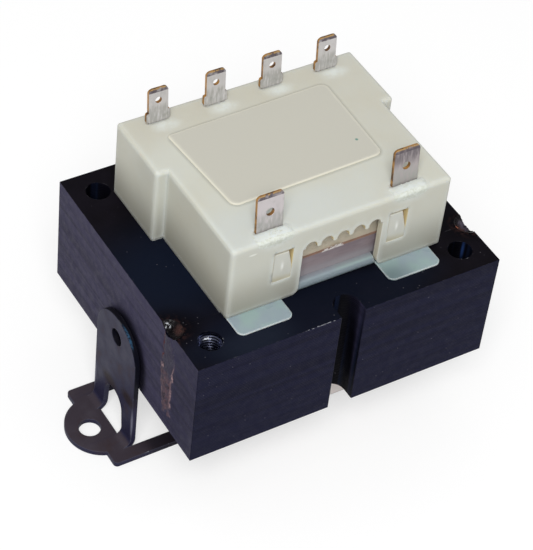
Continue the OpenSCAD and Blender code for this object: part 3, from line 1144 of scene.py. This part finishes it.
@dataclass
class Core:
    """Stacks of laminations with their welds, the slag on them and the thread in the front left hole."""

    low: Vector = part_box("i_core")[0].freeze()
    high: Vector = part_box("e_core")[1].freeze()
    seam_y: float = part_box("i_core")[1].y
    clear: float = 0.02 * MM
    bead_lift: float = 0.012 * MM
    bead_proud: float = 0.3 * MM
    ripple: float = 2.6 * MM
    run_end: float = 0.13
    run_fade: float = 0.08
    fine_waver: float = 0.07
    broad_waver: float = 0.13
    lap_share: float = 0.05
    rough_share: float = 0.12
    skin_front: float = 4.6 * MM
    skin_back: float = 3.4 * MM
    run_heights: tuple[float, ...] = (0.0, 0.12, 0.33, 0.58, 0.76, 0.9, 1.0)
    run_middles: tuple[float, ...] = (1.5, 1.4, 0.9, 0.5, 1.1, 0.3, 0.0)
    run_halves: tuple[float, ...] = (1.4, 1.8, 2.0, 2.4, 2.5, 1.7, 1.3)
    crater_r: float = 3.9 * MM
    crater_depth: float = 1.4 * MM
    crater_reach: float = 3.1 * MM
    slag_lift: float = 0.03 * MM
    slag_t: float = 0.2 * MM
    slag_bump: float = 0.16 * MM
    hole_inset: float = 6.35 * MM
    hole_r: float = 2.8 * MM
    notch_reach: float = 3.2 * MM
    pitch: float = 0.8 * MM
    thread_depth: float = 0.34 * MM
    thread_inset: float = 0.25 * MM
    lead_rows: int = 12
    # y and z of the painted shadow beside each of the strap's ears
    ear_shadow_at: tuple[float, float] = (-1.6 * MM, 24.5 * MM)
    hole_gleam: Triple = (33.97 * MM, -23.69 * MM, 45.7 * MM)
    blue_at: tuple[float, float] = (-30 * MM, -4 * MM)
    band_at: tuple[float, float] = (-9 * MM, -27.5 * MM)
    haze_at: tuple[float, float] = (-23 * MM, -29.5 * MM)
    chips_mm: tuple[tuple[float, float], ...] = ((-8.0, 0.0), (32.5, 3.6), (-28.6, 5.6))
    warm_mm: Triple = (2.4, -0.8, -0.8)
    glint_mm: Triple = (0.7, 1.9, -0.7)
    grey_sheen_mm: Triple = (0.6, 0.4, -1.0)
    drop_mm: Triple = (2.8, 0.2, -0.4)
    thread_glint_mm: Triple = (0.7, 2.35, -1.9)

    def crater(self, side: Side, offset_mm: Triple = (0, 0, 0)) -> Vector:
        """Middle of the crater at the top of a weld, or a place near it.

        Args:
            side: side of the core.
            offset_mm: millimetres inwards, to the rear and up from the middle.

        Returns:
            The place in the shared frame.
        """
        inwards, rear, up = offset_mm
        middle = Vector((side.value * self.high.x, self.seam_y, self.high.z))
        return middle + MM * Vector((-side.value * inwards, rear, up))

    def crater_height(self, aside: np.ndarray) -> np.ndarray:
        """Return the height of a crater's sphere at distances from its middle."""
        dip = np.sqrt(np.clip(self.crater_r**2 - aside**2, 0, None))
        return self.high.z - self.crater_depth + self.crater_r - dip

    def bead(self, side: Side) -> Piece:
        """Weld run as a thin skin over the seam, on a grid of height and distance along the side.

        The skin lies just on the side of the core and ends above along the crater's circle. The run is a
        lens across the skin. Its middle and half width are drawn between given values up the seam, a sine
        of the height gives the laps of the weld, and smoothed random fields make its borders waver. The
        share of weld, the rust of the lower half and the pale and red borders are kept on the points.

        Args:
            side: side of the core.

        Returns:
            The finished piece.
        """
        rows, columns = 240, 84
        rng = np.random.default_rng(SEED + side.value)
        rough = smooth_random(rng, rows, columns, 5)
        broad = smooth_random(rng, rows, columns, 60)
        up = np.linspace(0, 1, rows)[:, None]
        aside = np.linspace(-self.skin_front, self.skin_back, columns)[None, :]
        rim = np.minimum(self.high.z, self.crater_height(aside)) - 2 * self.clear
        z = self.low.z + self.clear + up * (rim - self.low.z - 2 * self.clear)
        middle = -MM * np.interp(up, self.run_heights, self.run_middles)
        half = MM * np.interp(up, self.run_heights, self.run_halves)
        out = np.abs((aside - middle) / half + self.fine_waver * rough + self.broad_waver * broad)
        lap = np.sin(2 * np.pi * z / self.ripple + 2 * out)
        fade = smooth_step(up + 0.03 * broad, self.run_end, self.run_end + self.run_fade)
        lens = fade * np.clip(1 - out**2.5, 0, 1) ** 0.7
        proud = self.bead_proud * lens * (1 + self.lap_share * lap + self.rough_share * rough)
        x = self.high.x + self.bead_lift + proud
        weld = fade * smooth_step(out, 1.05, 0.88)
        lower = smooth_step(up + 0.04 * broad, 0.66, 0.52)
        central = smooth_step(np.abs(up - 0.42), 0.36, 0.2)
        kept = {
            "weld": weld,
            "rust": weld * lower * np.clip(0.75 + 0.35 * rough, 0, 1),
            "pale": fade * bell(out, 0.93, 0.12) * central * np.clip(0.6 + 0.35 * broad, 0, 1),
            "red": bell(out, 0.9, 0.17) * (aside > middle) * smooth_step(up, 0.6, 0.7),
        }
        points = as_points(side.value * x, self.seam_y + aside, z)
        if side is Side.LEFT:
            points = points[:, ::-1]
            kept = {key: values[:, ::-1] for key, values in kept.items()}
        return grid_piece(f"{side.word}_bead", Slot.WELD, points, **kept)

    def slag(self, side: Side) -> Piece:
        """Slag in the crater at the top of a weld, as a fan of radius and angle.

        The fan covers the half circle that lies inside the core. Its height is the crater's sphere plus
        bumps from a smoothed random field, which fade out towards the rim.

        Args:
            side: side of the core.

        Returns:
            The finished piece.
        """
        rows, columns = 40, 90
        share = np.linspace(0.01, 1, rows)[:, None]
        angle = np.linspace(-np.pi / 2, np.pi / 2, columns)[None, :]
        bumps = smooth_random(np.random.default_rng(SEED + 4 + side.value), rows, columns, 6)
        radius = self.crater_reach * share
        fade = np.clip((1 - share) * 5, 0, 1)
        thick = fade * np.clip(self.slag_t + self.slag_bump * bumps, 0, None)
        z = self.crater_height(radius) + self.slag_lift + thick
        x = side.value * (self.high.x - radius * np.cos(angle))
        points = as_points(x, self.seam_y + radius * np.sin(angle), z)
        return grid_piece(f"{side.word}_slag", Slot.WELD, points if side is Side.LEFT else points[::-1])

    def thread(self) -> Piece:
        """Thread in the front left hole as a tube whose radius follows a helix.

        The radius is the hole's less a triangle wave of the height plus the turn, so that its crests climb
        one pitch in each turn. The tube lies on the wall of the hole.

        Returns:
            The finished piece.
        """
        rows, columns = 260, 64
        depth = np.linspace(0, 1, rows)[:, None]
        angle = np.linspace(0, 2 * np.pi, columns, endpoint=False)[None, :]
        length = self.high.z - self.low.z - 2 * self.thread_inset
        height = self.high.z - self.thread_inset - depth * length
        phase = height / self.pitch + angle / (2 * np.pi)
        crest = 1 - 2 * np.abs(phase - np.floor(phase) - 0.5)
        fade = np.clip(depth * rows / self.lead_rows, 0, 1)
        radius = self.hole_r - self.clear - self.thread_depth * crest * fade
        x = self.low.x + self.hole_inset + radius * np.cos(angle)
        y = self.low.y + self.hole_inset + radius * np.sin(angle)
        return grid_piece("hole_thread", Slot.CORE, as_points(x, y, height), closed_rows=True)

    def steel_finish(self) -> LaminatedSteel:
        """Finish of the stacks.

        Returns:
            The finish, with the places of its patches.
        """
        top = self.high.z
        craters = [self.crater(side) for side in Side]
        across = (self.low.x + self.hole_inset, self.high.x - self.hole_inset)
        along = (self.low.y + self.hole_inset, self.high.y - self.hole_inset)
        holes = [(x, y, 0.0) for x in across for y in along]
        notch = [(0.0, self.low.y + reach, 0.0) for reach in (0.0, self.notch_reach)]
        chips = [(x * MM, self.low.y + reach * MM, top) for x, reach in self.chips_mm]
        return LaminatedSteel(
            front_y=self.low.y,
            top_z=top,
            burnt=Patch(craters, (5.5, 5.5, 2.5)),
            sooty=Patch(craters, (10, 8, 3)),
            chipped=Patch(chips, (5, 1.2, 1), 0.5),
            shaded_recesses=Patch(holes + notch, (3.9, 3.9, 100), 0.85),
            ear_shadow=Patch([(x, *self.ear_shadow_at) for x in (self.low.x, self.high.x)], (3, 10.6, 13.2), 0.78),
            bluish=Patch([(*self.blue_at, top)], (26, 22, 9), 0.2),
            banded=Patch([(*self.band_at, top)], (40, 10, 9), 0.6),
            hazy=Patch([(*self.haze_at, top)], (13, 6, 9), 0.2),
            gleaming=Patch([self.hole_gleam], (0.45, 0.6, 4), 0.0),
        )

    def slag_finish(self) -> WeldSlag:
        """Return the finish of the slag, with the places of its patches."""
        return WeldSlag(
            warm=Patch([self.crater(side, self.warm_mm) for side in Side], (1.9, 2.2, 3), 0.2),
            glinting=Patch([self.crater(Side.LEFT, self.glint_mm)], (1, 0.9, 1), 0.4),
            bare=Patch([self.crater(Side.RIGHT, self.grey_sheen_mm)], (1.6, 2.4, 2), 0.4),
            drops=Patch([self.crater(Side.RIGHT, self.drop_mm)], (0.5, 0.5, 1), 0.4),
        )

    def thread_finish(self) -> ThreadedSteel:
        """Return the finish of the thread, with a glint high on its far wall."""
        corner = Vector((self.low.x + self.hole_inset, self.low.y + self.hole_inset, self.high.z))
        return ThreadedSteel(Patch([corner + MM * Vector(self.thread_glint_mm)], (1.2, 0.8, 0.7), 0.4))

    def dress(self) -> None:
        """Build the added pieces and give every piece of the core its finish."""
        steel = self.steel_finish()
        dress_nodes(steel.make("laminated_steel"), "e_core", "i_core")
        weld = WeldedSteel(steel).make("welded_steel")
        slag = self.slag_finish().make("weld_slag")
        for side in Side:
            bead = self.bead(side)
            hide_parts(f"{side.word}_weld")
            dress_piece(bead, weld)
            dress_piece(self.slag(side), slag)
        dress_piece(self.thread(), self.thread_finish().make("threaded_steel"))


@dataclass
class Coil:
    """Bobbin, windings, tape and the torn strip behind the opening."""

    strip_low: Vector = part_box("front_strip")[0].freeze()
    strip_high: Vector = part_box("front_strip")[1].freeze()
    tear_from: float = 0.36
    tear_to: float = 0.6
    tear_h: float = 1.3 * MM
    tear_overlap: float = 0.35 * MM
    tear_lift: float = 0.06 * MM
    tear_curl: float = 0.25 * MM
    film_t: float = 0.05 * MM
    cover_shadow_inset: float = 1 * MM

    def torn_edge(self) -> Piece:
        """Torn lip of the strip as a curled ribbon.

        The ribbon runs along part of the strip's upper edge. Its height follows a smoothed random line that
        falls to nothing at both ends, and it curls forward with the square of the height.

        Returns:
            The finished piece.
        """
        rows, columns = 8, 60
        span = self.strip_high.x - self.strip_low.x
        share = np.linspace(0, 1, columns)[None, :]
        up = np.linspace(0, 1, rows)[:, None]
        jag = smooth_random(np.random.default_rng(SEED), 1, columns, 2)
        tall = self.tear_h * np.sin(np.pi * share) ** 0.5 * np.clip(0.75 + 0.25 * jag, 0.15, 1.3)
        x = self.strip_low.x + span * (self.tear_from + (self.tear_to - self.tear_from) * share)
        y = self.strip_low.y - self.tear_lift - self.tear_curl * up**2 * (tall / self.tear_h)
        z = self.strip_high.z - self.tear_overlap + tall * up
        piece = grid_piece("torn_edge", Slot.TAPE, as_points(x, y, z))
        film = piece.modifiers.new("film", "SOLIDIFY")
        film.thickness = self.film_t
        return piece

    def dress(self) -> None:
        """Build the torn edge and give every piece of the coil its finish."""
        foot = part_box("e_core")[1].z
        # middle of the painted shadow on the right tab
        dull = (self.strip_high.x - self.cover_shadow_inset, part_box("bobbin")[0].y + self.cover_shadow_inset, foot)
        milky = MilkyMoulding(
            cover_shadow=Patch([dull], (10, 6, 3), 0.1),
            painted_bounce_from=self.strip_high.z,
            lip_back=self.strip_low.y,
            lip_foot=foot,
            lip_from=self.strip_low.x,
            lip_to=self.strip_high.x,
        )
        dress_nodes(milky.make("milky_moulding"), "bobbin")
        tape = CoilTape(self.strip_low.z, self.strip_high.z).make("coil_tape")
        dress_nodes(tape, "primary_tape", "secondary_tape", "front_strip")
        dress_nodes(EnamelledWire().make("enamelled_wire"), "primary_winding", "secondary_winding")
        dress_piece(self.torn_edge(), TornFilm().make("torn_film"))


@dataclass
class Cover:
    """Terminal cover with its latch faces, bare label and roughened plastic at the wide blades."""

    top: float = COVER_TOP
    foot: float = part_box("terminal_cover")[0].z
    front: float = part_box("terminal_cover")[0].y
    edge_r: float = 0.7 * MM
    label_shape: LabelShape = LabelShape()
    mark: tuple[float, float] = (16.1 * MM, -2.7 * MM)
    pad_w: float = 9.4 * MM
    pad_t: float = 0.36 * MM
    pad_fall: float = 1.6 * MM
    pad_gap: float = 0.05 * MM
    pad_sunk: float = 0.06 * MM
    pad_rough: float = 0.14
    snap_gap: float = 0.21 * MM
    snap_back: float = 0.1 * MM
    snap_lean: float = 0.15 * MM
    snap_sink: float = 1 * MM
    snap_bulge: float = 0.12 * MM
    wedges: tuple[tuple[Side, float, float], ...] = ((Side.LEFT, 0.27, 0.65), (Side.RIGHT, 0.33, 0.72))
    arches: tuple[float, float] = (1.8 * MM, 62.6 * MM)
    arch_drop: float = 7 * MM
    dash: tuple[float, float] = (-20.8 * MM, 65.3 * MM)
    window_lift: float = 1.2 * MM
    stress_back: float = 1.2 * MM
    stress_ahead: float = 1.8 * MM
    stress_aside: float = 1 * MM

    def label(self) -> Piece:
        """Bare label as a surface of angle and radius.

        Its outline is a rectangle with round corners: the corner circles' centres, pushed out along the
        angle. The left rear corner's circle is smaller than the others, and the width grows a little to the
        rear. The outer rings rise along a quarter circle from the cover, which rounds the edge, and the
        inner ones are the same outline scaled towards its middle.

        Returns:
            The finished piece.
        """
        shape = self.label_shape
        columns, bend_rings, inner_rings = 160, 7, 10
        angle = np.linspace(0, 2 * np.pi, columns, endpoint=False)[None, :]
        fall = np.linspace(0, np.pi / 2, bend_rings)[:, None]
        inner = np.geomspace(0.97, 0.0005, inner_rings)[:, None]
        shrink = np.concatenate([np.ones((bend_rings + 1, 1)), inner])
        pulled_in = shape.edge_r * (1 - np.cos(fall))
        inset = np.concatenate([[[0.0]], pulled_in, np.full_like(inner, shape.edge_r)])
        bend = shape.thick - shape.edge_r + shape.edge_r * np.sin(fall)
        height = np.concatenate([[[-shape.sunk]], bend, np.full_like(inner, shape.thick)])
        round_r = np.where((np.cos(angle) < 0) & (np.sin(angle) > 0), shape.sharp_r, shape.corner_r)
        corner_x = (shape.width / 2 - round_r) * np.sign(np.cos(angle))
        corner_y = (shape.depth / 2 - round_r) * np.sign(np.sin(angle))
        y = shrink * (corner_y + (round_r - inset) * np.sin(angle))
        widening = 1 + shape.flare * 2 * y / shape.depth
        x = shrink * (corner_x + (round_r - inset) * np.cos(angle)) * widening
        turned_x = shape.x + x * np.cos(shape.turn) - y * np.sin(shape.turn)
        turned_y = shape.y + x * np.sin(shape.turn) + y * np.cos(shape.turn)
        points = as_points(turned_x, turned_y, self.top + height)[::-1]
        # rim: share of the painted highlight on the label's edge
        rim = np.where(shrink < 1, 0.0, np.clip(1.4 - inset / shape.edge_r, 0, 1))[::-1]
        return grid_piece("bare_label", Slot.COVER, points, closed_rows=True, capped=True, rim=rim)

    def rough_pad(self, side: Side, seed: int) -> Piece:
        """Roughened plastic in front of a wide blade, as a skin over the cover's front edge.

        A path runs from the blade forward over the top, round the edge's quarter circle and down the front.
        The skin is that path pushed outwards by a dome of both parameters, roughened by a smoothed random
        field.

        Args:
            side: side of the blade.
            seed: seed of its roughness.

        Returns:
            The finished piece.
        """
        rows, columns = 48, 90
        low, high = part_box(f"front_blade_{side.word}")
        start = low.y - self.pad_gap
        flat = start - (self.front + self.edge_r)
        bend = self.edge_r * np.pi / 2
        way = np.linspace(0, flat + bend + self.pad_fall, rows)[:, None]
        turn = np.clip((way - flat) / self.edge_r, 0, np.pi / 2)
        ahead = np.clip(way, 0, flat) + self.edge_r * np.sin(turn)
        down = self.edge_r * (1 - np.cos(turn)) + np.clip(way - flat - bend, 0, None)
        across = np.linspace(-1, 1, columns)[None, :]
        rough = smooth_random(np.random.default_rng(seed), rows, columns, 3)
        dome = np.clip(1 - np.abs(across) ** 2.5, 0, 1) * np.clip(1 - (way / way[-1]) ** 1.6, 0, 1)
        thick = self.pad_t * dome**0.8 * (1 + self.pad_rough * rough) - self.pad_sunk
        x = (low.x + high.x) / 2 + across * self.pad_w / 2
        y = start - ahead - thick * np.sin(turn)
        z = self.top - down + thick * np.cos(turn)
        return grid_piece(f"rough_pad_{side.word}", Slot.COVER, as_points(x, y, z)[:, ::-1])

    def snap(self, side: Side, wedge: float, reach: float) -> Piece:
        """Face of a latch as a height field over its window.

        The face sinks by a cubic step along the window's upper edge and in a wedge down its right edge,
        which narrows in line with the height, and it bulges by a bell in the middle. The shares of painted
        shade in the sunk parts and at the foot, and of the painted bright streak, are kept on the points.

        Args:
            side: side of the latch.
            wedge: width of the wedge at its top as a share of the window.
            reach: length of the wedge as a share of the window.

        Returns:
            The finished piece.
        """
        rows, columns = 90, 50
        low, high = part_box(f"{side.word}_latch")
        up = np.linspace(0, 1, rows)[:, None]
        share = np.linspace(0, 1, columns)[None, :]
        edge = 1.02 - wedge * np.clip((up - 1 + reach) / reach, 0, 1)
        sunk = np.maximum(smooth_step(up, 0.9, 0.95), smooth_step(share - edge, 0.0, 0.07))
        bulge = bell(share, 0.45, 0.3) * bell(up, 0.45, 0.3)
        x = low.x - self.snap_gap + share * (high.x - low.x + 2 * self.snap_gap)
        back = self.snap_back + self.snap_lean * up + self.snap_sink * sunk - self.snap_bulge * bulge
        z = low.z - self.snap_gap + up * (high.z - low.z + 2 * self.snap_gap)
        # foot and sheen: shares of the painted shade at the latch's foot and of its painted highlight
        foot = smooth_step(up + 0.1 * share, 0.3, 0.02)
        sheen = 0.8 * bell(share, 0.48, 0.07) * bell(up, 0.48, 0.12)
        points = as_points(x, self.front + back, z)
        return grid_piece(f"{side.word}_snap", Slot.COVER, points, deep=sunk, foot=foot, sheen=sheen)

    def cream_finish(self) -> CreamMoulding:
        """Finish of the moulding.

        Returns:
            The finish, with the places of its patches.
        """
        wide = [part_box(f"front_blade_{side.word}") for side in Side]
        narrow = [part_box(f"rear_blade_{index}") for index in range(1, 5)]
        latches = [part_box(f"{side.word}_latch") for side in Side]
        ahead = [((low.x + high.x) / 2, self.front + self.stress_back, self.top) for low, high in wide]
        beside = [
            ((low.x + high.x) / 2 + self.stress_aside, low.y - self.stress_ahead, self.top)
            for low, high in narrow
        ]
        windows = [(low + high) / 2 + Vector((0, 0, self.window_lift)) for low, high in latches]
        arch_x, arch_z = self.arches
        dash_x, dash_z = self.dash
        return CreamMoulding(
            foot=self.foot,
            top=self.top,
            label=self.label_shape,
            arches=Patch([(arch_x, self.front, arch_z)], (10.4, 6, 2.6), 0.75),
            opening=Patch([(arch_x, self.front, arch_z - self.arch_drop)], (15, 4, 12), 0.85),
            windows=Patch(windows, (4, 4, 5), 0.8),
            dash=Patch([(dash_x, self.front, dash_z)], (1.3, 1, 0.35), 0.4),
            front_stress=Patch(ahead, (7, 3.6, 4.6), 0.15),
            rear_stress=Patch(beside, (4.8, 2.4, 2), 0.1),
        )

    def dress(self) -> None:
        """Build the latch faces, label and rough pads and give every piece of the cover its finish."""
        cream = self.cream_finish().make("cream_moulding")
        dress_nodes(cream, "terminal_cover", "left_latch", "right_latch")
        latch = SnapPlastic().make("snap_plastic")
        for side, wedge, reach in self.wedges:
            snap = self.snap(side, wedge, reach)
            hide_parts(f"{side.word}_latch")
            dress_piece(snap, latch)
        mark = Patch([(*self.mark, self.top)], (0.5, 0.5, 1), 0.5)
        dress_piece(self.label(), BareLabel(mark).make("bare_label"))
        stressed = StressedPlastic().make("stressed_plastic")
        for seed, side in enumerate(Side, SEED):
            dress_piece(self.rough_pad(side, seed), stressed)


@dataclass
class Terminals:
    """The four rear blades and the two wide front blades."""

    rear: tuple[str, ...] = tuple(f"rear_blade_{index}" for index in range(1, 5))
    foot: float = COVER_TOP

    def dress(self) -> None:
        """Give the blades their finishes, the right front one the most worn."""
        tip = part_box(self.rear[0])[1].z
        tin = TinnedBrass(self.foot, tip, wear=0.12, tin=tone(216, 213, 214))
        dress_nodes(tin.make("tinned_brass_rear"), *self.rear)
        for name, worn, tint in (
            ("front_blade_left", 0.0, tone(203, 196, 197)),
            ("front_blade_right", 0.8, tone(176, 167, 167)),
        ):
            tin = TinnedBrass(self.foot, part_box(name)[1].z, wear=worn, tin=tint)
            dress_nodes(tin.make(f"tinned_brass_{name}"), name)


@dataclass
class Strap:
    """Lanced mounting strap."""

    side_x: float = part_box("e_core")[1].x
    gap: float = 1.2 * MM
    face: float = 1.9 * MM
    gleam: tuple[float, float] = (-4.9 * MM, 32.8 * MM)
    leg_y: float = 8.95 * MM
    leg_z: float = 8.5 * MM
    ear_feet: tuple[tuple[float, float], ...] = ((-6.6 * MM, 14.8 * MM), (2.0 * MM, 12.8 * MM))

    def dress(self) -> None:
        """Give the strap its finish, with the places of its patches."""
        cuts = [side.value * (self.side_x + self.gap) for side in Side]
        faces = [side.value * (self.side_x + self.face) for side in Side]
        legs = [(x, y, self.leg_z) for x in faces for y in (-self.leg_y, self.leg_y)]
        ears = [(x, *place) for x in faces for place in self.ear_feet]
        sheet = OxidisedSheet(
            gleaming=Patch([(x, *self.gleam) for x in cuts], (0.45, 4.4, 3), 0.4),
            painted_leg_highlight=Patch(legs, (0.9, 0.9, 6.5), 0.4),
            umbered=Patch(ears, (3, 4.6, 2.6), 0.3),
        )
        dress_nodes(sheet.make("oxidised_sheet"), "mounting_strap")


# Studio


@dataclass
class Studio:
    """Pale floor, soft light and the camera."""

    floor_half: float = 3.0
    floor_far: float = 1.6
    floor_grey: Colour = (0.5, 0.5, 0.5)
    floor_glow: tuple[float, float] = (0.55, 0.76)
    white: Colour = (1.0, 1.0, 1.0)
    sky: float = 0.5
    lamp_place: Vector = Vector((-0.55, -0.75, 1.1)).freeze()
    lamp_aim: Vector = Vector((0, 0, 0.04)).freeze()
    lamp_size: float = 0.6
    lamp_power: float = 13.5
    camera_place: Vector = Vector((-0.203341, -0.283551, 0.355167)).freeze()
    camera_ahead: Vector = Vector((0.413175, 0.580154, -0.701931)).freeze()
    camera_right: Vector = Vector((0.858402, -0.505457, 0.087513)).freeze()
    lens: float = 141.077
    sensor: float = 36.0
    clip: tuple[float, float] = (0.01, 20.0)

    def floor(self) -> None:
        """Plain pale floor that keeps the shadow and shows as near white."""
        reach = np.linspace(-self.floor_half, self.floor_half, 2)
        x, y = np.meshgrid(reach, reach)
        mesh = bpy.data.meshes.new("floor")
        mesh.from_pydata(as_points(x, y, 0 * x).reshape(-1, 3), [], [(0, 1, 3, 2)])
        plane = new_object("floor", mesh)
        shader = Shader("pale_floor")
        rays = ("Is Camera Ray", "Is Glossy Ray", "Is Transmission Ray")
        seen = reduce(Field.joined, [shader.node("LightPath", {}, ray) for ray in rays])
        away = 1 - shader.near(Patch([(0.0, 0.0, 0.0)], (self.floor_far / MM,) * 3, 0.15))
        shader.set(
            Base_Color=self.floor_grey,
            Roughness=0.9,
            Specular_IOR_Level=0.0,
            Emission_Color=self.white,
            Emission_Strength=seen * away.rise(0.0, 1.0, *self.floor_glow),
        )
        dress_piece(plane, shader.material)

    def world(self) -> None:
        """Even pale surroundings, white where the camera sees them."""
        world = bpy.data.worlds.new("surroundings")
        world.use_nodes = True
        nodes = NodeTree(world.node_tree)
        strength = nodes.node("LightPath", {}, "Is Camera Ray").rise(0.0, 1.0, self.sky, 1.0)
        light = nodes.node("Background", {"Color": self.white, "Strength": strength})
        nodes.add("OutputWorld", {"Surface": light})
        bpy.context.scene.world = world

    def lamp(self) -> None:
        """Square soft lamp to the left of the camera."""
        data = bpy.data.lights.new("key", "AREA")
        data.size = self.lamp_size
        data.energy = self.lamp_power
        lamp = new_object("key", data)
        lamp.location = self.lamp_place
        lamp.rotation_mode = "QUATERNION"
        lamp.rotation_quaternion = (self.lamp_aim - self.lamp_place).to_track_quat("-Z", "Y")

    def camera(self) -> None:
        """Camera at the viewing angle of the photograph, placed from the middle of the core's underside."""
        base = Vector((0.0, 0.0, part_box("e_core")[0].z))
        back = -self.camera_ahead.normalized()
        right = (self.camera_right - back * self.camera_right.dot(back)).normalized()
        up = back.cross(right)
        data = bpy.data.cameras.new("camera")
        data.lens = self.lens
        data.sensor_width = self.sensor
        data.clip_start, data.clip_end = self.clip
        camera = new_object("camera", data)
        turn = Matrix((right, up, back)).transposed().to_4x4()
        camera.matrix_world = Matrix.Translation(base + self.camera_place) @ turn
        bpy.context.scene.camera = camera

    def build(self) -> None:
        """Set the floor, surroundings, lamp, camera and view transform."""
        self.floor()
        self.world()
        self.lamp()
        self.camera()
        bpy.context.scene.view_settings.view_transform = "Standard"
        LOG.info("studio: floor, surroundings, lamp and camera")


def main() -> None:
    """Build and dress every sub-assembly in order, then build the studio."""
    logging.basicConfig(level=logging.INFO, format="%(name)s: %(message)s")
    for assembly in (Core(), Coil(), Cover(), Terminals(), Strap()):
        assembly.dress()
    Studio().build()


if __name__ == "__main__":
    main()
